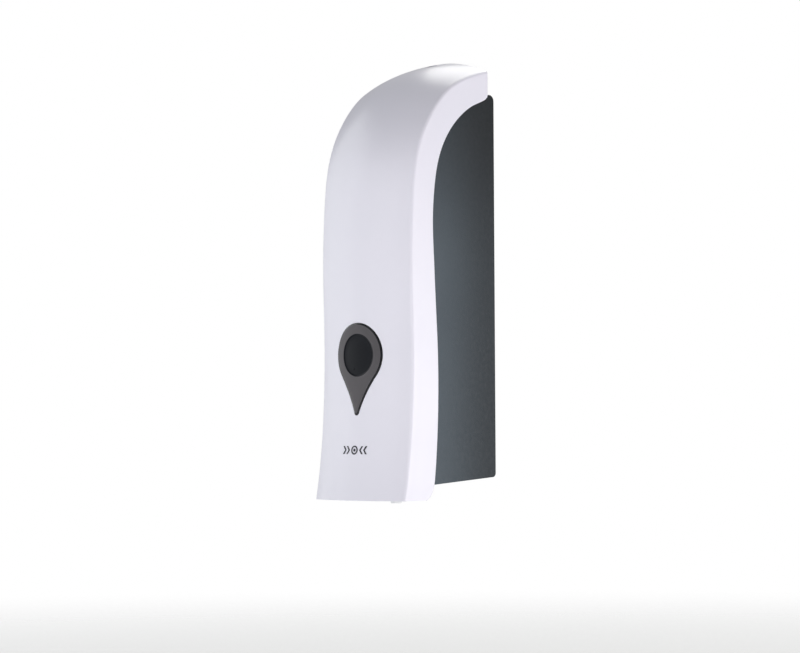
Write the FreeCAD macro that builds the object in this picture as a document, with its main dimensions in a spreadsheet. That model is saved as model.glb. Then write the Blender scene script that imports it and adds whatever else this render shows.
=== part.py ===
import FreeCAD, Part
import math
import os
import re

import Sketcher
from FreeCAD import Placement, Rotation, Vector

# Wall mounted soap dispenser, millimetres.  Every piece is drawn with z = 0 on the bottom edge
# of the cover and y = 0 on the wall, then set down by mount_height so that the origin lies
# midway between the two wall screws.  -Y faces the room.

os.makedirs("parts", exist_ok=True)
doc = FreeCAD.newDocument("soap_dispenser")
sheet = doc.addObject("Spreadsheet::Sheet", "dimensions")

DIMENSIONS = [
    # cover
    ("cover_height", 210.0), ("cover_width", 60.3), ("cover_depth", 59.0), ("cover_wall", 2.5),
    ("front_bow", 6.6), ("crown_rise", 6.0), ("crease_radius", 1.6), ("back_gap", 7.0),
    ("lip_reach", 7.0),
    # rear housing and its wall fixing
    ("mount_height", 100.0), ("screw_spacing", 110.0), ("screw_hole_radius", 2.25),
    ("screw_sink_radius", 4.5), ("housing_gap", 0.35), ("housing_wall", 2.2), ("back_plate", 3.0),
    ("shoulder_drop", 11.0), ("shoulder_radius", 3.0), ("top_reach", 22.0),
    ("floor_back", 10.0), ("floor_front", 6.4), ("fit_clearance", 0.05), ("joint_gap", 0.3),
    # how the cover is carried
    ("catch_depth", 8.0), ("catch_rise", 2.5), ("bead_radius", 1.2), ("pin_radius", 1.5),
    ("pin_setback", 10.5), ("pin_height", 14.0), ("press_angle", 2.0),
    # lock
    ("lock_depth", 14.0), ("barrel_radius", 3.95), ("cam_length", 13.0), ("cam_thickness", 2.0),
    ("keyhole_radius", 3.0),
    # bottle, its outlet and its filling cap
    ("bottle_wall", 1.2), ("bottle_setback", 9.0), ("bottle_base", 15.0), ("bottle_headroom", 29.0),
    ("bottle_round", 5.0), ("mouth_setback", 26.0), ("mouth_radius", 9.0), ("cap_radius", 12.0),
    ("cap_height", 13.0), ("outlet_radius", 4.2),
    # pump
    ("pump_height", 24.0), ("bore_radius", 8.0), ("pump_wall", 2.3), ("pump_setback", 3.0),
    ("pump_length", 23.0), ("tower_setback", 19.0), ("nozzle_radius", 2.6),
    ("nozzle_drop", 2.0), ("wire_radius", 0.6), ("coil_radius", 6.0), ("ball_radius", 2.0),
    ("clamp_screw_radius", 1.5), ("clamp_screw_offset", 7.0), ("foot_radius", 5.0),
    # level window and press mark
    ("window_height", 68.2), ("window_radius", 15.2), ("window_tip", 28.3), ("tip_radius", 1.6),
    ("sight_radius", 9.74), ("lens_proud", 0.6), ("lens_seat", 1.3), ("mark_height", 23.6),
    ("mark_proud", 0.15),
]
for row, (alias, number) in enumerate(DIMENSIONS, start=1):
    sheet.set("A%d" % row, alias)
    sheet.set("B%d" % row, "%g" % number)
    sheet.setAlias("B%d" % row, alias)
doc.recompute()

# Shape of the cover's side seen square on, front edge first at the bottom, as fractions of the
# cover depth and of the side height.
CREASE_LINE = [(1.104, -0.020), (1.031, 0.106), (1.000, 0.218), (0.989, 0.368), (1.000, 0.539),
               (0.982, 0.681), (0.908, 0.809), (0.768, 0.887), (0.541, 0.954), (0.261, 0.989),
               (0.034, 1.003)]
# Rear edge of the cover's side flange, from the back corner down to the bottom edge.
FLANGE_LINE = [(0.1184, 0.950), (0.1305, 0.9375), (0.175, 0.930), (0.297, 0.916), (0.427, 0.892),
               (0.539, 0.861), (0.636, 0.820), (0.700, 0.774), (0.737, 0.719), (0.756, 0.650),
               (0.746, 0.553), (0.729, 0.456), (0.710, 0.353), (0.705, 0.265), (0.7205, 0.137),
               (0.745, 0.055), (0.760, 0.030), (0.794, 0.011), (0.855, 0.000)]
# Front edge of the housing's side wall, hidden behind the flange.
HOUSING_LINE = [(0.5595, 0.914), (0.661, 0.877), (0.737, 0.836), (0.793, 0.784), (0.827, 0.7255),
                (0.851, 0.652), (0.844, 0.554), (0.827, 0.456), (0.807, 0.353), (0.810, 0.265),
                (0.832, 0.147), (0.882, 0.070), (0.890, 0.036)]


def size(alias):
    return float(sheet.get(alias))


def named(expression):
    """Expression text with every alias pointing at the sheet."""
    return re.sub(r"[a-z][a-z_]+", lambda word: "dimensions." + word.group(0), expression)


def worth(expression):
    return float(sheet.evalExpression(named(expression)))


SIDE_HEIGHT = "(cover_height - crown_rise)"
HOUSING_TOP = "(cover_height - crown_rise - shoulder_drop)"
HOUSING_HALF = "(cover_width / 2 - cover_wall - housing_gap)"
PUMP_FRONT = "(pump_setback - cover_depth)"
TOWER_Y = "(tower_setback - cover_depth)"
CLAMP_Y = "(pump_setback - cover_depth + 6.5)"
# the bottle and the clamp screws are placed from the pump bore, so they follow its radius
CLAMP_X = "(bore_radius + clamp_screw_offset)"
MOUTH_Y = "(mouth_setback - cover_depth)"
BOTTLE_FLOOR = "(pump_height + bore_radius + bottle_base)"
BOTTLE_TOP = "(cover_height - crown_rise - shoulder_drop - bottle_headroom)"

half_width = size("cover_width") / 2
side_height = worth(SIDE_HEIGHT)
housing_top = worth(HOUSING_TOP)
housing_half = worth(HOUSING_HALF)
drop = Vector(0, 0, -size("mount_height"))
pieces = []


# ---------------------------------------------------------------- building blocks

def keep(node, label):
    """Name a finished piece and set it down into the mounting frame."""
    node.Label = label
    pieces.append(node)
    return node


def settle(node, label):
    node.setExpression("Placement.Base.z", named("-mount_height"))
    return keep(node, label)


def block(x_span, y_span, z_span):
    """Box between pairs of expressions."""
    box = doc.addObject("Part::Box", "block")
    spans = (x_span, y_span, z_span)
    for prop, axis, (low, high) in zip(("Length", "Width", "Height"), "xyz", spans):
        box.setExpression(prop, named("(%s) - (%s)" % (high, low)))
        box.setExpression("Placement.Base." + axis, named(low))
    return box


def rod(radius, start, length, axis="z"):
    """Cylinder of a radius and length given as expressions, running along +y or +z."""
    cylinder = doc.addObject("Part::Cylinder", "rod")
    if axis == "y":
        cylinder.Placement.Rotation = Rotation(Vector(1, 0, 0), -90)
    cylinder.setExpression("Radius", named(radius))
    cylinder.setExpression("Height", named(length))
    for letter, value in zip("xyz", start):
        cylinder.setExpression("Placement.Base." + letter, named(value))
    return cylinder


def joined(parts):
    fusion = doc.addObject("Part::MultiFuse", "joined")
    fusion.Shapes = parts
    fusion.Refine = True
    return fusion


def carved(base, tools):
    cut = doc.addObject("Part::Cut", "carved")
    cut.Base = base
    cut.Tool = tools[0] if len(tools) == 1 else joined(tools)
    cut.Refine = True
    return cut


def shared(first, second):
    both = doc.addObject("Part::Common", "shared")
    both.Base = first
    both.Tool = second
    return both


def turned(label, outline, origin, axis=(0, 0, 1)):
    """Body of revolution: outline of (radius, distance along the axis) expressions."""
    body = doc.addObject("PartDesign::Body", label)
    plane = [f for f in body.Origin.OriginFeatures if f.Role == "XZ_Plane"][0]
    sketch = body.newObject("Sketcher::SketchObject", label + "_outline")
    sketch.AttachmentSupport = [(plane, "")]
    sketch.MapMode = "FlatFace"
    corners = [Vector(worth(radius), worth(along), 0) for radius, along in outline]
    count = len(corners)
    for index in range(count):
        sketch.addGeometry(Part.LineSegment(corners[index], corners[(index + 1) % count]))
    for index in range(count):
        sketch.addConstraint(Sketcher.Constraint("Coincident", index, 2, (index + 1) % count, 1))
    for index, (radius, along) in enumerate(outline):
        for kind, text in (("DistanceX", radius), ("DistanceY", along)):
            rule = sketch.addConstraint(Sketcher.Constraint(kind, -1, 1, index, 1, worth(text)))
            sketch.setExpression("Constraints[%d]" % rule, named(text))
    spin = body.newObject("PartDesign::Revolution", label + "_spin")
    spin.Profile = sketch
    spin.ReferenceAxis = (sketch, ["V_Axis"])
    spin.Angle = 360
    body.Tip = spin
    place = Vector(*[worth(value) for value in origin]) + drop
    body.Placement = Placement(place, Rotation(Vector(0, 0, 1), Vector(*axis)))
    return keep(body, label)


def solid_piece(shape, label):
    """Piece whose free-form shape is worked out from the sheet's sizes."""
    feature = doc.addObject("Part::Feature", label)
    feature.Shape = shape
    feature.Placement = Placement(drop, Rotation())
    return keep(feature, label)


def spline(points):
    curve = Part.BSplineCurve()
    curve.interpolate(points)
    return curve


def cuboid(x_span, y_span, z_span):
    low = Vector(x_span[0], y_span[0], z_span[0])
    return Part.makeBox(x_span[1] - x_span[0], y_span[1] - y_span[0], z_span[1] - z_span[0], low)


def side_points(fractions):
    """Points of the x = 0 plane from fractions of the cover depth and side height."""
    return [Vector(0, -depth * size("cover_depth"), rise * side_height)
            for depth, rise in fractions]


def across(wire, low, high):
    """Solid from a closed outline in the x = 0 plane, carried from one x to another."""
    wire.translate(Vector(low, 0, 0))
    return Part.Face(wire).extrude(Vector(high - low, 0, 0))


def skin(inset, reach):
    """Solid bounded by the cover's skin moved inwards by inset, cut square at x = +-reach.

    The skin bows out towards the middle as a parabola, a little less over the crown.
    """
    base = spline(side_points(CREASE_LINE))
    stations = side_points(CREASE_LINE)
    back = size("back_gap") * 2
    below = stations[0].z - back
    wires = []
    for x in (-reach, 0.0, reach):
        swell = 1 - (x / half_width) ** 2
        points = []
        for index, station in enumerate(stations):
            run = base.tangent(base.parameter(station))[0]
            share = index / (len(stations) - 1)
            bow = size("front_bow") * (1 - share) + size("crown_rise") * share
            shift = bow * swell - inset
            points.append(Vector(x, station.y - run.z * shift, station.z + run.y * shift))
        foot, head = points[0], points[-1]
        corners = [head, Vector(x, back, head.z), Vector(x, back, below),
                   Vector(x, foot.y, below), foot]
        edges = [spline(points).toShape()]
        edges += [Part.makeLine(a, b) for a, b in zip(corners, corners[1:])]
        wires.append(Part.Wire(edges))
    return Part.makeLoft(wires, True, False)


def teardrop(grow):
    """Upright teardrop prism through the front, its outline grown by an amount."""
    ring, tip = size("window_radius") + grow, size("tip_radius") + grow
    centre = size("window_height")
    tip_centre = centre - size("window_tip") + size("tip_radius")
    leave, arrive, pull = math.radians(38), math.radians(20), 7.0
    top = Vector(0, 0, centre + ring)
    low = Vector(0, 0, tip_centre - tip)
    flanks = []
    for side in (1, -1):
        start = Vector(side * ring * math.cos(leave), 0, centre - ring * math.sin(leave))
        end = Vector(side * tip * math.cos(arrive), 0, tip_centre - tip * math.sin(arrive))
        away = Vector(-side * math.sin(leave), 0, -math.cos(leave)) * pull
        into = Vector(-side * math.sin(arrive), 0, -math.cos(arrive)) * pull
        curve = Part.BezierCurve()
        curve.setPoles([start, start + away, end - into, end])
        flanks.append((start, end, curve.toShape()))
    edges = [Part.Arc(flanks[0][0], top, flanks[1][0]).toShape(), flanks[1][2],
             Part.Arc(flanks[1][1], low, flanks[0][1]).toShape(), flanks[0][2]]
    face = Part.Face(Part.Wire(Part.__sortEdges__(edges)))
    return face.extrude(Vector(0, -2 * size("cover_depth"), 0))


# ---------------------------------------------------------------- cover, window and mark

def make_cover():
    wall = size("cover_wall")
    inner_half = half_width - wall
    wide, deep = size("cover_width"), 2 * size("cover_depth")
    tall = 1.2 * size("cover_height")
    room = cuboid((-wide, wide), (-deep, -size("back_gap")), (0, tall))
    outer = skin(0.0, half_width).common(room)
    creases = [edge for edge in outer.Edges
               if edge.Length > 0.9 * side_height and edge.discretize(3)[1].y < -deep / 4]
    outer = outer.makeFillet(size("crease_radius"), creases)
    shell = outer.cut(skin(wall, inner_half))

    edge = side_points(FLANGE_LINE)
    far = 2 * size("back_gap")
    corners = [edge[-1], Vector(0, edge[-1].y, -far), Vector(0, far, -far),
               Vector(0, far, edge[0].z), edge[0]]
    lines = [Part.makeLine(a, b) for a, b in zip(corners, corners[1:])]
    for side in (1, -1):
        low, high = sorted((side * (inner_half - 3), side * wide))
        shell = shell.cut(across(Part.Wire([spline(edge).toShape()] + lines), low, high))

    # inturned bottom edge
    lip_front = -(size("cover_depth") + size("lip_reach"))
    lip = outer.common(cuboid((-wide, wide), (-deep, lip_front), (0, wall)))
    # two hanging catches with a round bead on the line the cover rocks about
    catch_y, catch_z = -size("catch_depth"), housing_top + size("catch_rise")
    hooks = []
    for x in (-14.0, 6.0):
        rib = cuboid((x, x + 8), (catch_y - 1, catch_y + 1), (catch_z, tall))
        hooks.append(rib.common(skin(wall / 2, inner_half)))
        hooks.append(Part.makeCylinder(size("bead_radius"), 8, Vector(x, catch_y, catch_z),
                                       Vector(1, 0, 0)))
    # pad that bears on the plunger
    pad = Part.makeCylinder(7, tall, Vector(0, -pad_face(), size("pump_height")), Vector(0, -1, 0))
    pad = pad.common(skin(wall / 2, inner_half))
    cover = shell.fuse([lip, pad] + hooks).removeSplitter()

    # window seat and sight hole, key hole, blind holes for the hinge pins
    seat = teardrop(0.1).cut(skin(size("lens_seat"), half_width))
    sight = Part.makeCylinder(size("sight_radius"), deep,
                              Vector(0, 0, size("window_height")), Vector(0, -1, 0))
    keyhole = Part.makeCylinder(size("keyhole_radius"), tall,
                                Vector(0, -size("lock_depth"), housing_top), Vector(0, 0, 1))
    cuts = [seat, sight, keyhole]
    pin_y = size("pin_setback") - size("cover_depth")
    for side in (1, -1):
        foot = Vector(side * (inner_half - 1), pin_y, size("pin_height"))
        cuts.append(Part.makeCylinder(size("pin_radius") + size("fit_clearance"), 1 + wall - 0.9,
                                      foot, Vector(side, 0, 0)))
    for tool in cuts:
        cover = cover.cut(tool)
    return cover


def pad_face():
    """Distance of the cover's press pad from the wall."""
    return size("cover_depth") + 3.5


def make_lens():
    lens = teardrop(0.0).common(skin(-size("lens_proud"), half_width))
    lens = lens.cut(skin(size("lens_seat") - 0.05, half_width))
    front = min(lens.Faces, key=lambda face: face.CenterOfMass.y)
    return lens.makeChamfer(0.45, front.Edges)


def make_mark():
    """Ring and dot between two pairs of inward arrows, lying on the skin."""
    centre, deep = size("mark_height"), 2 * size("cover_depth")
    back = Vector(0, -deep, 0)

    def disc(radius):
        return Part.makeCylinder(radius, deep, Vector(0, 0, centre), Vector(0, -1, 0))

    shapes = [disc(2.1).cut(disc(1.45)), disc(0.7)]
    for side in (1, -1):
        for tip in (3.2, 5.7):
            outline = [(tip, 0), (tip + 1.4, 1.9), (tip + 2.3, 1.9), (tip + 0.9, 0),
                       (tip + 2.3, -1.9), (tip + 1.4, -1.9)]
            corners = [Vector(side * x, 0, centre + z) for x, z in outline]
            shapes.append(Part.Face(Part.makePolygon(corners + corners[:1])).extrude(back))
    layer = skin(-size("mark_proud"), half_width).cut(skin(0.0, half_width))
    return Part.makeCompound([layer.common(shape) for shape in shapes])


# ---------------------------------------------------------------- rear housing

def housing_outline():
    top, round_top = housing_top, size("shoulder_radius")
    floor_front, floor_back = size("floor_front"), size("floor_back")
    front = [Vector(0, -size("top_reach"), top)] + side_points(HOUSING_LINE)
    low_front = Vector(0, front[-1].y, floor_front)
    back_start = Vector(0, -2, floor_back)
    edges = [spline(front).toShape(), Part.makeLine(front[-1], low_front),
             Part.makeLine(low_front, back_start),
             Part.Arc(back_start, Vector(0, -0.55, floor_back + 0.65),
                      Vector(0, 0, floor_back + 2)).toShape(),
             Part.makeLine(Vector(0, 0, floor_back + 2), Vector(0, 0, top - round_top)),
             Part.Arc(Vector(0, 0, top - round_top),
                      Vector(0, -0.293 * round_top, top - 0.293 * round_top),
                      Vector(0, -round_top, top)).toShape(),
             Part.makeLine(Vector(0, -round_top, top), front[0])]
    return Part.Wire(edges)


def pin_path():
    """Centres of a hinge pin at rest and with the cover pressed right in."""
    rest = Vector(0, size("pin_setback") - size("cover_depth"), size("pin_height"))
    pivot = Vector(0, -size("catch_depth"), housing_top + size("catch_rise"))
    turn = Rotation(Vector(1, 0, 0), size("press_angle"))
    return rest, pivot + turn.multVec(rest - pivot)


def make_housing():
    wall, plate = size("housing_wall"), size("back_plate")
    inner = housing_half - wall
    deep, wide = 2 * size("cover_depth"), size("cover_width")
    body = across(housing_outline(), -housing_half, housing_half)
    slope = (size("floor_back") - size("floor_front")) / worth("0.89 * cover_depth - 2")
    floor = [Vector(0, -plate, size("floor_back") + wall),
             Vector(0, -deep, size("floor_back") + wall - slope * (deep - plate)),
             Vector(0, -deep, housing_top - wall), Vector(0, -plate, housing_top - wall)]
    body = body.cut(across(Part.makePolygon(floor + floor[:1]), -inner, inner))

    # ledges under the bottle, posts under the pump's ears, stops behind the cover's catches
    base = worth(BOTTLE_FLOOR)
    ledge_front = size("bottle_setback") - size("cover_depth") + 2
    post_y = worth(CLAMP_Y)
    additions = []
    for side in (1, -1):
        ledge = sorted((side * (inner - 6), side * (inner + 0.1)))
        additions.append(cuboid(ledge, (ledge_front, -plate + 0.1), (base - 2.6, base)))
        post_x = side * worth(CLAMP_X)
        post = Part.makeCylinder(3, size("pump_height") - 1.2 - size("floor_front") - 1,
                                 Vector(post_x, post_y, size("floor_front") + 1))
        additions.append(post)
        stop = sorted((side * 6, side * 15))
        additions.append(cuboid(stop, (-5.6, -3.6), (housing_top - 0.1, housing_top + 4)))
    body = body.fuse(additions).removeSplitter()

    # wall screw holes, sunk from the inside
    cuts = []
    hole, sink = size("screw_hole_radius"), size("screw_sink_radius")
    for rise in (-0.5, 0.5):
        z = size("mount_height") + rise * size("screw_spacing")
        cuts.append(Part.makeCylinder(hole, plate + 2, Vector(0, 1, z), Vector(0, -1, 0)))
        cuts.append(Part.makeCone(sink, hole, sink - hole, Vector(0, -plate, z), Vector(0, 1, 0)))
    # slots for the hinge pins
    start, end = pin_path()
    radius = size("pin_radius") + 2 * size("fit_clearance")
    run = (end - start).normalize()
    up = Vector(0, -run.z, run.y) * radius
    track = [start + up, end + up, end - up, start - up]
    cuts.append(across(Part.makePolygon(track + track[:1]), -wide, wide))
    cuts += [Part.makeCylinder(radius, 2 * wide, Vector(-wide, point.y, point.z), Vector(1, 0, 0))
             for point in (start, end)]
    # holes for the nozzle, the lock barrel and the pump's screws
    cuts.append(Part.makeCylinder(size("nozzle_radius") + 0.3, 20, Vector(0, worth(TOWER_Y), 0)))
    cuts.append(Part.makeCylinder(size("barrel_radius") + size("fit_clearance"), 10,
                                  Vector(0, -size("lock_depth"), housing_top - 5)))
    for side in (1, -1):
        foot = Vector(side * worth(CLAMP_X), post_y, size("pump_height") - 9)
        cuts.append(Part.makeCylinder(size("clamp_screw_radius") + size("fit_clearance"), 20, foot))
    for tool in cuts:
        body = body.cut(tool)
    return body


# ---------------------------------------------------------------- bottle and cap

def rounded_block(shrink):
    """Bottle body shrunk all round, with every edge rounded."""
    half = housing_half - size("housing_wall") - 0.4 - shrink
    front = size("bottle_setback") - size("cover_depth") + shrink
    back = -size("back_plate") - 0.4 - shrink
    form = cuboid((-half, half), (front, back),
                  (worth(BOTTLE_FLOOR) + shrink, worth(BOTTLE_TOP) - shrink))
    return form.makeFillet(size("bottle_round") - shrink, form.Edges)


def make_bottle():
    wall, base, top = size("bottle_wall"), worth(BOTTLE_FLOOR), worth(BOTTLE_TOP)
    mouth, outlet = size("mouth_radius"), size("outlet_radius")
    mouth_y, outlet_y = worth(MOUTH_Y), worth(TOWER_Y)
    body = rounded_block(0.0)
    neck = Part.makeCylinder(mouth, wall + 10.7, Vector(0, mouth_y, top - wall))
    lugs = Part.makeCylinder(mouth + 1.3, 1.6, Vector(0, mouth_y, top + 6))
    lugs = lugs.common(cuboid((-20, 20), (mouth_y - 3.2, mouth_y + 3.2), (top, top + 20)))
    spout = Part.makeCylinder(outlet, wall + 5.7, Vector(0, outlet_y, base - 5.7))
    body = body.fuse([neck, lugs, spout]).removeSplitter()
    body = body.cut(rounded_block(wall))
    body = body.cut(Part.makeCylinder(mouth - 1.5, 20, Vector(0, mouth_y, top - 2 * wall)))
    return body.cut(Part.makeCylinder(outlet - 1.2, 20, Vector(0, outlet_y, base - 10)))


def make_cap():
    axis = ("0", MOUTH_Y)
    bottom = BOTTLE_TOP + " + 2"
    shell = carved(rod("cap_radius", axis + (bottom,), "cap_height"),
                   [rod("mouth_radius + 1.6", axis + (bottom,), "cap_height - 2.7")])
    ring = carved(rod("mouth_radius + 1.8", axis + (bottom + " + 1.2",), "1.6"),
                  [rod("mouth_radius + 0.3", axis + (bottom + " + 1.2",), "1.6")])
    strip = block(("-20", "20"), (MOUTH_Y + " - 3", MOUTH_Y + " + 3"),
                  (bottom, bottom + " + 10"))
    wing = block(("2 - cap_radius", "cap_radius - 2"), (MOUTH_Y + " - 1.5", MOUTH_Y + " + 1.5"),
                 (bottom + " + cap_height - 0.1", bottom + " + cap_height + 2.5"))
    settle(joined([shell, shared(ring, strip), wing]), "bottle_cap")


# ---------------------------------------------------------------- pump

def make_pump_body():
    tower = ("0", TOWER_Y)
    z = "pump_height"
    ear = CLAMP_X + " + 3"
    solids = [
        block(("-bore_radius - pump_wall", "bore_radius + pump_wall"),
              (PUMP_FRONT, PUMP_FRONT + " + pump_length"),
              (z + " - bore_radius - pump_wall", z + " + bore_radius + pump_wall")),
        rod("6.5", tower + (z + " + 3",), "bore_radius + 10"),
        rod("foot_radius", tower + ("floor_back + 0.2",), "pump_height - floor_back - 5"),
        block(("-" + "(" + ear + ")", ear), (CLAMP_Y + " - 3", CLAMP_Y + " + 3"),
              (z + " - 1.2", z + " + 1.2")),
    ]
    hollows = [
        rod("bore_radius", ("0", PUMP_FRONT + " + 1.7", z), "pump_length", "y"),
        rod("bore_radius - 1", ("0", PUMP_FRONT + " - 1", z), "5", "y"),
        rod("5.1", tower + (z + " + bore_radius + 8.5",), "10"),
        rod("3.6", tower + (z + " + bore_radius + 1",), "10"),
        block(("-2.6", "2.6"), (TOWER_Y + " - 0.7", TOWER_Y + " + 0.7"),
              (z + " + 4", z + " + bore_radius + 2")),
        rod("1.8", tower + ("floor_back + 3",), "pump_height - floor_back - 7"),
        rod("3.7", tower + ("floor_back - 1",), "pump_height - bore_radius - floor_back + 0.4"),
    ]
    for side in (CLAMP_X, "-" + CLAMP_X):
        hollows.append(rod("clamp_screw_radius + fit_clearance", (side, CLAMP_Y, z + " - 5"), "10"))
    settle(carved(joined(solids), hollows), "pump_body")


def make_clamp():
    """Strap over the pump body, screwed down through its ears."""
    z, outer = "pump_height", "bore_radius + pump_wall"
    near, far = CLAMP_Y + " - 3", CLAMP_Y + " + 2"
    crown = z + " + bore_radius + pump_wall"
    arch = block(("-bore_radius - pump_wall - 2", outer + " + 2"), (near, far),
                 (z + " + 1.2", crown + " + 2"))
    feet = block(("-" + CLAMP_X + " - 3", CLAMP_X + " + 3"), (near, far),
                 (z + " + 1.2", z + " + 3.2"))
    tools = [block(("-bore_radius - pump_wall", outer), (near + " - 1", far + " + 1"),
                   (z, crown))]
    for side in (CLAMP_X, "-" + CLAMP_X):
        tools.append(rod("clamp_screw_radius + fit_clearance", (side, CLAMP_Y, z), "10"))
    settle(carved(joined([arch, feet]), tools), "pump_clamp")


def make_clamp_screws():
    screws = []
    for side in (CLAMP_X, "-" + CLAMP_X):
        shank = rod("clamp_screw_radius", (side, CLAMP_Y, "pump_height - 7"), "10.5")
        head = rod("2.6", (side, CLAMP_Y, "pump_height + 3.2"), "1.8")
        slot = block((side + " - 2.7", side + " + 2.7"), (CLAMP_Y + " - 0.35", CLAMP_Y + " + 0.35"),
                     ("pump_height + 4.2", "pump_height + 6"))
        screws.append(carved(joined([shank, head]), [slot]))
    settle(joined(screws), "pump_screws")


def make_spring():
    """Compression spring between the piston and the end cap."""
    wire, coil = size("wire_radius"), size("coil_radius")
    start = worth(PUMP_FRONT + " + 7.55") + wire
    length = worth("pump_length - 2.3 - 7.65") - 2 * wire
    turns, steps = 3.6, 12
    points = []
    for index in range(int(turns * steps) + 1):
        angle = 2 * math.pi * index / steps
        points.append(Vector(coil * math.cos(angle), start + length * index / (turns * steps),
                             size("pump_height") + coil * math.sin(angle)))
    path = spline(points)
    circle = Part.makeCircle(wire, points[0], path.tangent(path.FirstParameter)[0])
    return Part.Wire(path.toShape()).makePipeShell([Part.Wire(circle)], True, True)


def make_lock():
    axis = ("0", "-lock_depth")
    top = HOUSING_TOP
    core = "barrel_radius - 0.55"
    barrel = joined([rod("barrel_radius", axis + (top + " + joint_gap - 6.8",), "6.8"),
                     rod(core, axis + (top,), "5.5")])
    groove = carved(rod("barrel_radius + 1", axis + (top + " - 3.8",), "1"),
                    [rod("barrel_radius - 0.8", axis + (top + " - 4",), "2")])
    slot = block(("-4", "4"), ("-lock_depth - 0.6", "-lock_depth + 0.6"),
                 (top + " + 4", top + " + 9"))
    settle(carved(barrel, [groove, slot]), "lock_barrel")

    low = top + " + joint_gap"
    arm = block(("-3.5", "3.5"), ("-lock_depth - cam_length + 3.5", "-lock_depth"),
                (low, low + " + cam_thickness"))
    tip = rod("3.5", ("0", "-lock_depth - cam_length + 3.5", low), "cam_thickness")
    hub = rod("barrel_radius + 1", axis + (low,), "cam_thickness")
    bore = rod(core + " + fit_clearance", axis + (top,), "10")
    settle(carved(joined([arm, tip, hub]), [bore]), "lock_cam")

    clip = rod("barrel_radius + 1.5", axis + (top + " - 3.7",), "0.8")
    opening = block(("0", "10"), ("-lock_depth - 1.6", "-lock_depth + 1.6"),
                    (top + " - 5", top + " - 2"))
    inside = rod("barrel_radius - 0.75", axis + (top + " - 5",), "3")
    settle(carved(clip, [inside, opening]), "lock_clip")


# ---------------------------------------------------------------- put together

solid_piece(make_cover(), "front_cover")
solid_piece(make_lens(), "window_lens")
solid_piece(make_mark(), "press_mark")
solid_piece(make_housing(), "rear_housing")
solid_piece(make_bottle(), "bottle")
make_cap()
make_pump_body()
make_clamp()
make_clamp_screws()
solid_piece(make_spring(), "pump_spring")
make_lock()

mouth_ring = BOTTLE_TOP + " + 11"
turned("cap_gasket",
       [("mouth_radius - 1.4", "0"), ("mouth_radius + 1.4", "0"), ("mouth_radius + 1.4", "1.3"),
        ("mouth_radius - 1.4", "1.3")], ("0", MOUTH_Y, mouth_ring))
turned("bottle_outlet_seal",
       [("outlet_radius + 0.05", "0.4"), ("outlet_radius + 0.25", "0.1"),
        ("outlet_radius + 0.65", "0.1"), ("outlet_radius + 0.85", "0.4"),
        ("outlet_radius + 0.85", "1.4"), ("outlet_radius + 0.65", "1.7"),
        ("outlet_radius + 0.25", "1.7"), ("outlet_radius + 0.05", "1.4")],
       ("0", TOWER_Y, BOTTLE_FLOOR + " - 5"))
turned("inlet_seat",
       [("2.5", "0"), ("3.55", "0"), ("3.55", "2.3"), ("1.4", "2.3"), ("1.4", "1.3")],
       ("0", TOWER_Y, "pump_height + bore_radius + 6.2"))
turned("outlet_valve",
       [("0.2", "0"), ("0.8", "0"), ("1.9", "3"), ("3.6", "3"), ("3.6", "4.2"), ("1.6", "4.2"),
        ("1.2", "3.4")], ("0", TOWER_Y, "pump_height - bore_radius - 5"))
turned("nozzle",
       [("nozzle_radius - 0.9", "0"), ("nozzle_radius - 0.4", "0"), ("nozzle_radius", "0.4"),
        ("nozzle_radius", "nozzle_drop + floor_back"),
        ("3.65", "nozzle_drop + floor_back"),
        ("3.65", "nozzle_drop + pump_height - bore_radius - 2.1"),
        ("2.5", "nozzle_drop + pump_height - bore_radius - 2.1"),
        ("2.5", "nozzle_drop + floor_back - 0.4"),
        ("nozzle_radius - 0.9", "nozzle_drop + floor_back - 1.6")],
       ("0", TOWER_Y, "-nozzle_drop"))
turned("pump_end_cap",
       [("0", "0"), ("coil_radius - 1.2", "0"), ("coil_radius - 1.2", "1.2"),
        ("bore_radius - 0.07", "1.2"), ("bore_radius - 0.07", "3.5"),
        ("bore_radius + pump_wall", "3.5"), ("bore_radius + pump_wall", "6"), ("0", "6")],
       ("0", PUMP_FRONT + " + pump_length - 3.5", "pump_height"), (0, 1, 0))
turned("pump_piston",
       [("0", "0"), ("bore_radius - 2", "0"), ("bore_radius - 1.6", "0.4"),
        ("bore_radius - 1.6", "2"), ("3.5", "2.6"), ("3.5", "8.2"), ("bore_radius - 0.08", "8.2"),
        ("bore_radius - 0.08", "9.7"), ("bore_radius - 1.6", "9.7"), ("bore_radius - 1.6", "11.7"),
        ("bore_radius - 0.08", "11.7"), ("bore_radius - 0.08", "13.7"),
        ("coil_radius - 1.2", "13.7"), ("coil_radius - 1.2", "15"), ("0", "15")],
       ("0", PUMP_FRONT + " - 6.2", "pump_height"), (0, 1, 0))
turned("piston_seal",
       [("bore_radius - 1.55", "0"), ("bore_radius - 0.4", "0"), ("bore_radius - 0.05", "0.4"),
        ("bore_radius - 0.05", "1.5"), ("bore_radius - 0.4", "1.9"), ("bore_radius - 1.55", "1.9")],
       ("0", PUMP_FRONT + " + 3.55", "pump_height"), (0, 1, 0))

ball = doc.addObject("Part::Sphere", "inlet_ball")
ball.setExpression("Radius", named("ball_radius"))
ball.setExpression("Placement.Base.y", named(TOWER_Y))
ball.setExpression("Placement.Base.z",
                   named("pump_height + bore_radius + 1.3 + ball_radius - mount_height"))
keep(ball, "inlet_ball")

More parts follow.
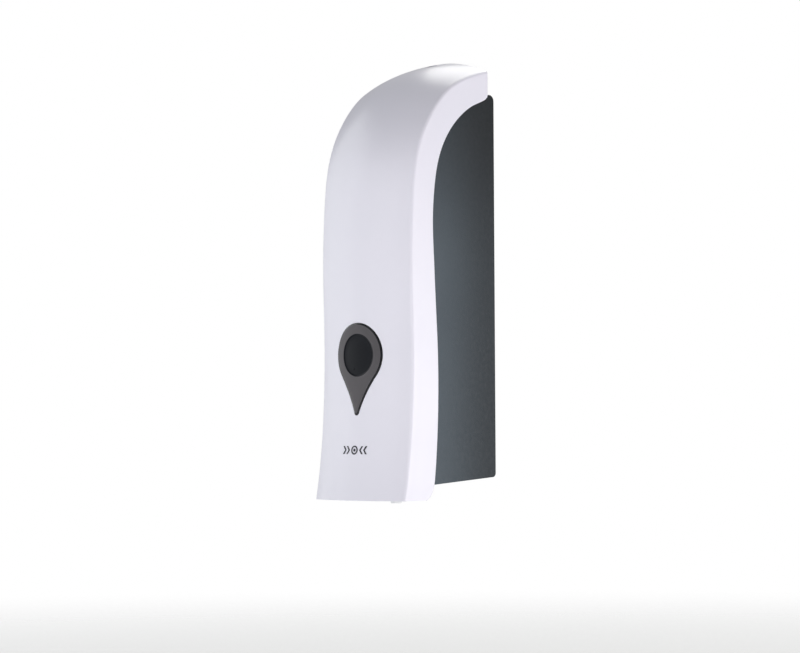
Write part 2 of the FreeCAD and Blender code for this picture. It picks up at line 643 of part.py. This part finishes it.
PIN_HEAD = "(" + HOUSING_HALF + " - housing_wall - joint_gap - 1.2)"
PIN_LENGTH = "housing_wall + 2 * joint_gap + 2.6"
PIN_OUTLINE = [("0", "0"), ("pin_radius + 1", "0"), ("pin_radius + 1", "1.2"),
               ("pin_radius", "1.2"), ("pin_radius", PIN_LENGTH), ("0", PIN_LENGTH)]
for name, side in (("hinge_pin_right", 1), ("hinge_pin_left", -1)):
    turned(name, PIN_OUTLINE,
           ("%d * %s" % (side, PIN_HEAD), "pin_setback - cover_depth", "pin_height"), (side, 0, 0))

doc.recompute()

for item in doc.Objects:
    if "Invalid" in item.State or "Error" in item.State:
        raise RuntimeError("%s did not build: %s" % (item.Label, item.State))
for piece in pieces:
    if piece.Shape.isNull() or not piece.Shape.isValid():
        raise RuntimeError("%s has no valid shape" % piece.Label)
    piece.Shape.exportStep("parts/%s.step" % piece.Label)
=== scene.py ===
import math

import bmesh
import bpy
import numpy as np
from mathutils import Matrix, Vector


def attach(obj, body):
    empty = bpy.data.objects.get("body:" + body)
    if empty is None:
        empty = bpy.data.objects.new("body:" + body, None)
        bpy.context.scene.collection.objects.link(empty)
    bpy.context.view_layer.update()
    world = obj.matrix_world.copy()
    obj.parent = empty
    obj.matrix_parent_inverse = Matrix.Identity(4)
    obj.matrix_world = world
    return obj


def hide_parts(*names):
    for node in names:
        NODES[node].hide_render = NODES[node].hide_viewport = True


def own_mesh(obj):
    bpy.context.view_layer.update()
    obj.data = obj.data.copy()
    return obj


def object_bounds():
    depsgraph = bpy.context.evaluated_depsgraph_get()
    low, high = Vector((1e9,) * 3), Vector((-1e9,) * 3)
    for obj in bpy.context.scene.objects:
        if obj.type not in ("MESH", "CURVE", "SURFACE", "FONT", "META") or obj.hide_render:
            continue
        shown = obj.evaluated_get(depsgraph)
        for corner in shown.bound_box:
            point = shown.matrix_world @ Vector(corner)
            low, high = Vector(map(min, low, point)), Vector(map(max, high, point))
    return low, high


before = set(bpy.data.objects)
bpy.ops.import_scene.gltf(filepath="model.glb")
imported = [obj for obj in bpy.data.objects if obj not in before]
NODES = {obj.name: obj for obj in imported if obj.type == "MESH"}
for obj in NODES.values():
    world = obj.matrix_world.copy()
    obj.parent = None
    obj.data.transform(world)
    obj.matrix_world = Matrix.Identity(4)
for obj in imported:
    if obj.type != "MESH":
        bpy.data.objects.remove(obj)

CAD_BOX = [list(corner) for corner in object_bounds()]
MM = 0.001

# Cover sizes in millimetres; heights are counted from the cover's bottom edge.
MOUNT_HEIGHT = 100.0
HALF_WIDTH = 30.15
SIDE_HEIGHT = 204.0
DEPTH = 59.0
FRONT_BOW, CROWN_RISE = 6.6, 6.0
WINDOW_HEIGHT = 68.2
WINDOW_RADIUS = 15.2
WINDOW_TIP = 28.3
TIP_RADIUS = 1.6
SIGHT_RADIUS = 9.74
# The cover's side seen square on, as shares of its depth and side height: the crease at the front
# from the bottom up, and the rear edge of the flange from the top down.
CREASE_LINE = [(1.104, -0.020), (1.031, 0.106), (1.000, 0.218), (0.989, 0.368), (1.000, 0.539),
               (0.982, 0.681), (0.908, 0.809), (0.768, 0.887), (0.541, 0.954), (0.261, 0.989),
               (0.034, 1.003)]
FLANGE_LINE = [(0.1184, 0.950), (0.1305, 0.9375), (0.175, 0.930), (0.297, 0.916), (0.427, 0.892),
               (0.539, 0.861), (0.636, 0.820), (0.700, 0.774), (0.737, 0.719), (0.756, 0.650),
               (0.746, 0.553), (0.729, 0.456), (0.710, 0.353), (0.705, 0.265), (0.7205, 0.137),
               (0.745, 0.055), (0.760, 0.030), (0.794, 0.011), (0.855, 0.000)]

# Lens sizes in millimetres: how far it sinks into the cover, stands proud of it, and its rim's width.
LENS_SINK, LENS_PROUD, LENS_RIM = 0.75, 0.40, 1.2
RIM_RADIUS = 0.42

# Studio sizes in metres and watts.
FLOOR_DROP, FLOOR_RADIUS = 0.12, 4.0
FADE_START, FADE_END = 0.3, 1.3
LIGHTS = [
    # name, place, target, width, height, watts, colour
    ("low_right", (0.55, -0.45, -0.30), (0, -0.03, 0), 0.35, 0.35, 8.45, (1.0, 0.985, 0.985)),
    ("right_back", (0.9, 0.75, -0.3), (0, -0.03, 0), 0.8, 0.8, 9.1, (1.0, 0.975, 0.98)),
    ("top_back", (-0.35, 0.65, 1.05), (0, -0.03, 0.05), 0.9, 0.9, 7.5, (1.0, 1.0, 0.97)),
    ("top_rear", (0.0, 0.7, 1.1), (0, -0.03, 0.05), 0.9, 0.9, 4.6, (1.0, 1.0, 0.97)),
    ("front_left", (-0.7, -1.15, 0.0), (0, 0, 0), 1.3, 1.3, 5.7, (0.97, 0.99, 1.0)),
    ("left", (-1.2, -0.4, 0.3), (0, 0, 0), 0.9, 1.2, 4.9, (0.97, 0.99, 1.0)),
]
# The middle stretch of a noise, where nearly all its values lie.
NOISE_RANGE = (0.3, 0.7)


# ------------------------------------------------------------------ materials

def material(name, color, rough, **sockets):
    """New node material, returned with its principled shader and its node tree."""
    mat = bpy.data.materials.new(name)
    mat.use_nodes = True
    tree = mat.node_tree
    shader = tree.nodes["Principled BSDF"]
    shader.inputs["Base Color"].default_value = (*color, 1)
    shader.inputs["Roughness"].default_value = rough
    for socket, value in sockets.items():
        shader.inputs[socket.replace("_", " ")].default_value = value
    return mat, shader, tree


def coords(tree):
    return tree.nodes.new("ShaderNodeTexCoord").outputs["Object"]


def noise(tree, scale, detail=2.0, vector=None):
    node = tree.nodes.new("ShaderNodeTexNoise")
    node.inputs["Scale"].default_value = scale
    node.inputs["Detail"].default_value = detail
    tree.links.new(vector or coords(tree), node.inputs["Vector"])
    return node.outputs["Fac"]


def ramp(tree, source, low, high):
    """Map a noise to colours or greys from low to high."""
    node = tree.nodes.new("ShaderNodeValToRGB")
    for stop, place, value in zip(node.color_ramp.elements, NOISE_RANGE, (low, high)):
        stop.position = place
        stop.color = (*value, 1) if isinstance(value, tuple) else (value, value, value, 1)
    tree.links.new(source, node.inputs["Fac"])
    return node.outputs["Color"]


def bump(tree, shader, heights):
    """Chain of bumps from (height, strength, distance) triples."""
    last = None
    for height, strength, distance in heights:
        node = tree.nodes.new("ShaderNodeBump")
        node.inputs["Strength"].default_value = strength
        node.inputs["Distance"].default_value = distance
        tree.links.new(height, node.inputs["Height"])
        if last:
            tree.links.new(last, node.inputs["Normal"])
        last = node.outputs["Normal"]
    tree.links.new(last, shader.inputs["Normal"])


def gloss_shell():
    """Moulded glossy white: faint orange peel and a slow change of gloss."""
    mat, shader, tree = material("white_abs", (0.81, 0.80, 0.86), 0.3, Coat_Weight=0.2,
                                 Coat_Roughness=0.22, Specular_IOR_Level=0.45)
    tint = ramp(tree, noise(tree, 22, 3), (0.80, 0.79, 0.872), (0.82, 0.808, 0.890))
    tree.links.new(tint, shader.inputs["Base Color"])
    tree.links.new(ramp(tree, noise(tree, 40, 2), 0.28, 0.34),
                   shader.inputs["Roughness"])
    bump(tree, shader, [(noise(tree, 260, 1), 0.03, 0.0002)])
    return mat


def grained(name, dark, light, rough=0.5, grain=2200, depth=0.0002):
    """Spark-eroded moulded plastic with a fine even grain."""
    mat, shader, tree = material(name, light, rough, Specular_IOR_Level=0.22)
    tint = ramp(tree, noise(tree, 30, 4), dark, light)
    tree.links.new(tint, shader.inputs["Base Color"])
    tree.links.new(ramp(tree, noise(tree, grain / 4, 2), rough - 0.06, rough + 0.08),
                   shader.inputs["Roughness"])
    bump(tree, shader, [(noise(tree, grain, 2), 0.35, depth)])
    return mat


def grey_shell():
    """Grey plastic with painted shade: the colour is scaled darker towards the wall and the top, where
    less light falls.
    """
    mat = grained("grey_shell", (0.078, 0.098, 0.116), (0.084, 0.105, 0.123))
    tree = mat.node_tree
    shader = tree.nodes["Principled BSDF"]
    tint = shader.inputs["Base Color"].links[0].from_socket
    parts = tree.nodes.new("ShaderNodeSeparateXYZ")
    tree.links.new(coords(tree), parts.inputs["Vector"])
    # Painted shade: the base colour is scaled down to 0.36 towards the wall (y) and towards the top
    # (z).
    for socket, ends, painted_shade_levels in (("Y", (-0.045, 0.0), (1.0, 0.36)),
                                ("Z", (0.0, 0.095), (1.0, 0.36))):
        shade = tree.nodes.new("ShaderNodeMapRange")
        shade.interpolation_type = "SMOOTHSTEP"
        for name, value in zip(("From Min", "From Max", "To Min", "To Max"), ends + painted_shade_levels):
            shade.inputs[name].default_value = value
        tree.links.new(parts.outputs[socket], shade.inputs["Value"])
        painted_shade_scale = tree.nodes.new("ShaderNodeVectorMath")
        painted_shade_scale.operation = "SCALE"
        tree.links.new(tint, painted_shade_scale.inputs[0])
        tree.links.new(shade.outputs["Result"], painted_shade_scale.inputs["Scale"])
        tint = painted_shade_scale.outputs["Vector"]
    tree.links.new(tint, shader.inputs["Base Color"])
    return mat


def smooth_plastic(name, color, rough=0.28):
    mat, shader, tree = material(name, color, rough, Coat_Weight=0.2, Coat_Roughness=0.1)
    low = tuple(0.94 * part for part in color)
    tree.links.new(ramp(tree, noise(tree, 80, 3), low, color),
                   shader.inputs["Base Color"])
    bump(tree, shader, [(noise(tree, 900, 2), 0.08, 0.0001)])
    return mat


def turned_metal(name, color, rough=0.28):
    """Bright metal with fine tool marks round the piece."""
    mat, shader, tree = material(name, color, rough, Metallic=1.0)
    stretch = tree.nodes.new("ShaderNodeMapping")
    stretch.inputs["Scale"].default_value = (60, 60, 4000)
    tree.links.new(coords(tree), stretch.inputs["Vector"])
    marks = noise(tree, 1, 3, stretch.outputs["Vector"])
    tree.links.new(ramp(tree, marks, rough - 0.08, rough + 0.12),
                   shader.inputs["Roughness"])
    bump(tree, shader, [(marks, 0.15, 0.00005)])
    return mat


def rubber(name, color):
    mat, shader, tree = material(name, color, 0.6)
    high = tuple(part + 0.02 for part in color)
    tree.links.new(ramp(tree, noise(tree, 300, 3), color, high),
                   shader.inputs["Base Color"])
    bump(tree, shader, [(noise(tree, 1500, 3), 0.2, 0.0001)])
    return mat


def smoke(name, color, rough, shine=0.18):
    """Smoke-tinted acrylic with a faint wave of the moulding."""
    mat, shader, tree = material(name, color, rough, Specular_IOR_Level=shine)
    high = tuple(1.15 * part for part in color)
    tree.links.new(ramp(tree, noise(tree, 70, 3), color, high),
                   shader.inputs["Base Color"])
    tree.links.new(ramp(tree, noise(tree, 120, 2), rough - 0.04, rough + 0.04),
                   shader.inputs["Roughness"])
    bump(tree, shader, [(noise(tree, 300, 2), 0.03, 0.0001)])
    return mat


def frosted():
    """Blow-moulded translucent bottle wall with faint flow marks."""
    mat, shader, tree = material("frosted_bottle", (0.90, 0.93, 0.93), 0.35,
                                 Transmission_Weight=0.55, IOR=1.45)
    tree.links.new(ramp(tree, noise(tree, 40, 4), 0.28, 0.45),
                   shader.inputs["Roughness"])
    bump(tree, shader, [(noise(tree, 120, 3), 0.1, 0.0003)])
    return mat


WHITE = gloss_shell()
GREY = grey_shell()
INK = grained("mark_ink", (0.035, 0.035, 0.045), (0.05, 0.05, 0.06), 0.45, 3000, 0.00005)
PUMP = smooth_plastic("pump_acetal", (0.72, 0.73, 0.74))
CAP = grained("cap_white", (0.70, 0.71, 0.72), (0.76, 0.77, 0.78), 0.4, 1600)
NOZZLE = smooth_plastic("nozzle_white", (0.82, 0.83, 0.85))
STEEL = turned_metal("steel", (0.62, 0.62, 0.64))
PLATED = turned_metal("plated_brass", (0.70, 0.71, 0.73), 0.2)
# The bevel and the middle disc are near-black copies of the smoke: painted shade for the lens's dark
# edge and for the dark inside of the housing seen through the window.
SMOKE = [smoke("smoke_bevel_painted_shade", (0.008, 0.008, 0.010), 0.14, 0.5),
         smoke("smoke_ring", (0.084, 0.079, 0.085), 0.32),
         smoke("smoke_disc_painted_shade", (0.008, 0.009, 0.012), 0.3, 0.08)]
RUBBER = rubber("seal_rubber", (0.02, 0.02, 0.023))
SILICONE = rubber("valve_silicone", (0.60, 0.63, 0.65))

FINISH = {
    "front_cover": WHITE, "window_lens": SMOKE[1], "press_mark": INK, "rear_housing": GREY,
    "bottle": frosted(), "bottle_cap": CAP, "cap_gasket": RUBBER, "bottle_outlet_seal": RUBBER,
    "pump_body": PUMP, "pump_end_cap": PUMP, "pump_clamp": STEEL, "pump_screws": STEEL,
    "pump_spring": STEEL, "pump_piston": PUMP, "piston_seal": RUBBER, "inlet_seat": PUMP,
    "inlet_ball": STEEL, "outlet_valve": SILICONE, "nozzle": NOZZLE, "hinge_pin_left": STEEL,
    "hinge_pin_right": STEEL, "lock_barrel": PLATED, "lock_cam": STEEL, "lock_clip": STEEL,
}


# ------------------------------------------------------------------ lines of the cover

class Spline:
    """Cubic spline through points of the side plane, read by a share 0..1 of its chord length."""

    def __init__(self, points):
        self.points = np.array(points, float)
        steps = np.linalg.norm(np.diff(self.points, axis=0), axis=1)
        self.at = np.concatenate(([0], np.cumsum(steps)))
        self.length = self.at[-1]
        count = len(self.at)
        system, right = np.zeros((count, count)), np.zeros((count, 2))
        system[0, 0] = system[-1, -1] = 1
        right[0] = self.end_slope(range(4))
        right[-1] = self.end_slope(range(count - 1, count - 5, -1))
        for i in range(1, count - 1):
            before, after = steps[i - 1], steps[i]
            system[i, i - 1:i + 2] = after, 2 * (before + after), before
            right[i] = 3 * (after * (self.points[i] - self.points[i - 1]) / before
                            + before * (self.points[i + 1] - self.points[i]) / after)
        self.slopes = np.linalg.solve(system, right)

    def end_slope(self, picks):
        """Slope at the first pick of the cubic through four points."""
        picks = list(picks)
        at, total = self.at[picks], np.zeros(2)
        for j in range(4):
            others = [k for k in range(4) if k != j]
            scale = np.prod([at[j] - at[k] for k in others])
            rise = sum(np.prod([at[0] - at[k] for k in others if k != m]) for m in others)
            total += self.points[picks[j]] * rise / scale
        return total

    def read(self, share):
        here = np.clip(np.asarray(share, float) * self.length, 0, self.length)
        i = np.clip(np.searchsorted(self.at, here, side="right") - 1, 0, len(self.at) - 2)
        step = self.at[i + 1] - self.at[i]
        t = ((here - self.at[i]) / step)[..., None]
        step = step[..., None]
        return ((2 * t ** 3 - 3 * t ** 2 + 1) * self.points[i]
                + (t ** 3 - 2 * t ** 2 + t) * step * self.slopes[i]
                + (3 * t ** 2 - 2 * t ** 3) * self.points[i + 1]
                + (t ** 3 - t ** 2) * step * self.slopes[i + 1])

    def slope(self, share, step=1e-4):
        run = self.read(np.minimum(np.asarray(share) + step, 1)) - self.read(
            np.maximum(np.asarray(share) - step, 0))
        return run / np.linalg.norm(run, axis=-1, keepdims=True)


def side_points(line):
    return [(-depth * DEPTH, rise * SIDE_HEIGHT) for depth, rise in line]


class Skin:
    """The cover's front; (y, z) is read from x and a share of the way up."""

    def __init__(self):
        self.side = Spline(side_points(CREASE_LINE))
        share = self.side.at / self.side.length
        normals = self.side.slope(share) @ np.array([[0, 1], [-1, 0]])
        blend = np.linspace(0, 1, len(share))
        bow = FRONT_BOW * (1 - blend) + CROWN_RISE * blend
        self.middle = Spline(self.side.points + normals * bow[:, None])

    def read(self, x, share):
        q = (np.asarray(x, float) / HALF_WIDTH) ** 2
        return self.middle.read(share) * (1 - q)[..., None] + self.side.read(share) * q[..., None]

    def front(self, x, z):
        """y of the front at places seen square on."""
        low, high = np.zeros(np.shape(x)), np.full(np.shape(x), 0.8)
        for _ in range(40):
            share = (low + high) / 2
            under = self.read(x, share)[..., 1] < z
            low, high = np.where(under, share, low), np.where(under, high, share)
        return self.read(x, share)[..., 0]


def dress(piece, slot, *finishes, body="front_cover", angle=25):
    """Give a new piece its finishes and the body that it rides on; the slot argument is not used."""
    for finish in finishes:
        piece.data.materials.append(finish)
    piece.data.polygons.foreach_set("use_smooth", [True] * len(piece.data.polygons))
    piece.data.set_sharp_from_angle(angle=math.radians(angle))
    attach(piece, body)


def new_piece(form, name):
    """Object with the mesh of a bmesh, which is freed."""
    mesh = bpy.data.meshes.new(name)
    form.to_mesh(mesh)
    form.free()
    piece = bpy.data.objects.new(name, mesh)
    bpy.context.collection.objects.link(piece)
    return piece


def band(form, first, second, finish=0):
    """Faces between two closed loops of vertices."""
    for i in range(len(first)):
        k = (i + 1) % len(first)
        form.faces.new((first[i], first[k], second[k], second[i])).material_index = finish


def teardrop(grow, flank=24):
    """Upright teardrop outline round the window's centre, as (x, z) from there."""
    ring, tip = WINDOW_RADIUS + grow, TIP_RADIUS + grow
    tip_centre = TIP_RADIUS - WINDOW_TIP
    leave, arrive, pull = math.radians(38), math.radians(20), 7.0

    def arc(radius, rise, start, end, count):
        return [(radius * math.cos(a), rise + radius * math.sin(a))
                for a in np.linspace(start, end, count)]

    start = Vector((-ring * math.cos(leave), -ring * math.sin(leave)))
    end = Vector((-tip * math.cos(arrive), tip_centre - tip * math.sin(arrive)))
    away = start + pull * Vector((math.sin(leave), -math.cos(leave)))
    into = end - pull * Vector((math.sin(arrive), -math.cos(arrive)))
    left = []
    for t in np.linspace(0, 1, flank + 2)[1:-1]:
        point = ((1 - t) ** 3 * start + 3 * t * (1 - t) ** 2 * away
                 + 3 * t ** 2 * (1 - t) * into + t ** 3 * end)
        left.append(tuple(point))
    right = [(-x, z) for x, z in left[::-1]]
    return np.array(arc(ring, 0, -leave, math.pi + leave, 72) + left
                    + arc(tip, tip_centre, math.pi + arrive, 2 * math.pi - arrive, 11) + right)


def make_lens(skin):
    """Window lens: bevelled rim with painted shade (near black), grey ring and a shallow round dish in
    the middle, painted near black as shade inside the housing.
    """
    rim = teardrop(0.0)
    spokes = rim / np.linalg.norm(rim, axis=1)[:, None]
    # outline, height over the skin, finish of the band that leads to it
    inner = teardrop(-LENS_RIM)
    rings = [(rim, -LENS_SINK, 0), (rim, 0.02, 0), (teardrop(-0.12), 0.12, 0),
             (teardrop(-0.80), 0.34, 0), (teardrop(-0.95), 0.38, 0), (inner, LENS_PROUD, 1)]
    edge = spokes * (SIGHT_RADIUS + 0.35)
    rings += [(inner * (1 - s) + edge * s, LENS_PROUD, 1) for s in (0.25, 0.5, 0.75, 1.0)]
    rings += [(spokes * radius, height, 2) for radius, height in
              ((SIGHT_RADIUS, 0.30), (SIGHT_RADIUS - 0.3, 0.05), (SIGHT_RADIUS - 0.6, 0.0),
               (7.0, 0.0), (4.5, 0.0), (2.0, 0.0))]
    back = [(spokes * radius, -LENS_SINK) for radius in (2.0, 6.0, SIGHT_RADIUS)]
    form = bmesh.new()

    def loop(outline, height):
        y = skin.front(outline[:, 0], outline[:, 1] + WINDOW_HEIGHT) - height
        return [form.verts.new((x * MM, depth * MM, (z + WINDOW_HEIGHT - MOUNT_HEIGHT) * MM))
                for (x, z), depth in zip(outline, y)]

    def hub(height):
        y = skin.front(np.zeros(1), np.full(1, WINDOW_HEIGHT))[0] - height
        return form.verts.new((0, y * MM, (WINDOW_HEIGHT - MOUNT_HEIGHT) * MM))

    front = [(loop(outline, height), finish) for outline, height, finish in rings]
    rear = [(loop(outline, height), 1) for outline, height in back]
    chain = rear + front
    for (first, _), (second, finish) in zip(chain, chain[1:]):
        band(form, first, second, finish)
    for (ends, finish), point in ((chain[-1], hub(0.0)), (chain[0], hub(-LENS_SINK))):
        for i in range(len(ends)):
            form.faces.new((ends[i], ends[(i + 1) % len(ends)], point)).material_index = finish
    bmesh.ops.recalc_face_normals(form, faces=form.faces)
    lens = new_piece(form, "lens_bevelled")
    dress(lens, "smoke_lens", *SMOKE)
    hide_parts("window_lens")


def make_rims():
    """Rounded bead along the rear edge of each flange, on the flange's outer corner."""
    count, sides = 160, 10
    line = Spline(side_points(FLANGE_LINE))
    shares = np.linspace(0.004, 0.996, count)
    path, run = line.read(shares), line.slope(shares)
    for name, side in (("rim_right", 1), ("rim_left", -1)):
        form = bmesh.new()
        loops = []
        for (y, z), (dy, dz) in zip(path, run):
            ring = []
            for a in np.linspace(0, 2 * math.pi, sides, endpoint=False):
                out, along = RIM_RADIUS * math.cos(a), RIM_RADIUS * math.sin(a)
                ring.append(form.verts.new((side * (HALF_WIDTH - RIM_RADIUS + out) * MM,
                                            (y + dz * along) * MM,
                                            (z - dy * along - MOUNT_HEIGHT) * MM)))
            loops.append(ring)
        for first, second in zip(loops, loops[1:]):
            band(form, first, second)
        form.faces.new(loops[0][::-1])
        form.faces.new(loops[-1])
        bmesh.ops.recalc_face_normals(form, faces=form.faces)
        dress(new_piece(form, name), "white_shell", WHITE)


def make_spring():
    """The pump's spring as a copy with its own mesh, riding on the housing."""
    spring = bpy.data.objects.new("spring_coil", NODES["pump_spring"].data.copy())
    bpy.context.collection.objects.link(spring)
    spring.data.materials.clear()
    dress(spring, "steel", STEEL, body="housing", angle=60)
    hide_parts("pump_spring")
    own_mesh(spring)


make_lens(Skin())
make_rims()
make_spring()

for node, finish in FINISH.items():
    for slot in NODES[node].material_slots:
        slot.link = "OBJECT"
        slot.material = finish


# ------------------------------------------------------------------ floor, light and camera

def area_light(name, place, target, width, height, watts, color):
    lamp = bpy.data.lights.new(name, "AREA")
    lamp.shape = "RECTANGLE"
    lamp.size, lamp.size_y, lamp.energy, lamp.color = width, height, watts, color
    holder = bpy.data.objects.new(name, lamp)
    holder.location = place
    aim = Vector(target) - Vector(place)
    holder.rotation_euler = aim.to_track_quat("-Z", "Y").to_euler()
    bpy.context.collection.objects.link(holder)


def stage_floor():
    """Pale round floor, clear far from the part and from underneath."""
    form = bmesh.new()
    bmesh.ops.create_circle(form, cap_ends=True, segments=96, radius=FLOOR_RADIUS)
    floor = new_piece(form, "floor")
    floor.location = (0, 0, CAD_BOX[0][2] - FLOOR_DROP)
    mat, shader, tree = material("floor_paint", (0.90, 0.90, 0.90), 0.9)
    clear = tree.nodes.new("ShaderNodeBsdfTransparent")
    mix = tree.nodes.new("ShaderNodeMixShader")
    reach = tree.nodes.new("ShaderNodeVectorMath")
    reach.operation = "LENGTH"
    tree.links.new(coords(tree), reach.inputs[0])
    fade = tree.nodes.new("ShaderNodeMapRange")
    fade.interpolation_type = "SMOOTHSTEP"
    fade.inputs["From Min"].default_value = FADE_START
    fade.inputs["From Max"].default_value = FADE_END
    tree.links.new(reach.outputs["Value"], fade.inputs["Value"])
    under = tree.nodes.new("ShaderNodeMath")
    under.operation = "MAXIMUM"
    tree.links.new(fade.outputs["Result"], under.inputs[0])
    tree.links.new(tree.nodes.new("ShaderNodeNewGeometry").outputs["Backfacing"], under.inputs[1])
    tree.links.new(under.outputs["Value"], mix.inputs["Fac"])
    tree.links.new(shader.outputs["BSDF"], mix.inputs[1])
    tree.links.new(clear.outputs["BSDF"], mix.inputs[2])
    tree.links.new(mix.outputs["Shader"], tree.nodes["Material Output"].inputs["Surface"])
    floor.data.materials.append(mat)


def studio():
    world = bpy.data.worlds.new("studio")
    bpy.context.scene.world = world
    world.use_nodes = True
    tree = world.node_tree
    ambient = tree.nodes["Background"]
    ambient.inputs["Color"].default_value = (0.95, 0.96, 1, 1)
    ambient.inputs["Strength"].default_value = 0.205
    backdrop = tree.nodes.new("ShaderNodeBackground")
    backdrop.inputs["Color"].default_value = (1, 1, 1, 1)
    backdrop.inputs["Strength"].default_value = 1.0
    mix = tree.nodes.new("ShaderNodeMixShader")
    seen = tree.nodes.new("ShaderNodeLightPath").outputs["Is Camera Ray"]
    tree.links.new(seen, mix.inputs["Fac"])
    tree.links.new(ambient.outputs["Background"], mix.inputs[1])
    tree.links.new(backdrop.outputs["Background"], mix.inputs[2])
    tree.links.new(mix.outputs["Shader"], tree.nodes["World Output"].inputs["Surface"])
    bpy.context.scene.view_settings.view_transform = "Standard"


def camera():
    """Long lens level with the lower third, looking at the front and the right side."""
    azimuth, pitch, roll = (math.radians(angle) for angle in (45.61, 1.54, -0.30))
    ahead = Vector((-math.sin(azimuth) * math.cos(pitch), math.cos(azimuth) * math.cos(pitch),
                    math.sin(pitch)))
    right = Vector((math.cos(azimuth), math.sin(azimuth), 0))
    up = right.cross(ahead)
    right, up = (math.cos(roll) * right + math.sin(roll) * up,
                 math.cos(roll) * up - math.sin(roll) * right)
    lens = bpy.data.cameras.new("camera")
    lens.lens, lens.sensor_width, lens.sensor_fit = 136.15, 36.0, "HORIZONTAL"
    holder = bpy.data.objects.new("camera", lens)
    place = Vector((1.03078, -1.04593, -0.05667))
    holder.matrix_world = Matrix.Translation(place) @ Matrix((right, up, -ahead)).transposed().to_4x4()
    bpy.context.collection.objects.link(holder)
    bpy.context.scene.camera = holder


stage_floor()
studio()
camera()
for light in LIGHTS:
    area_light(*light)
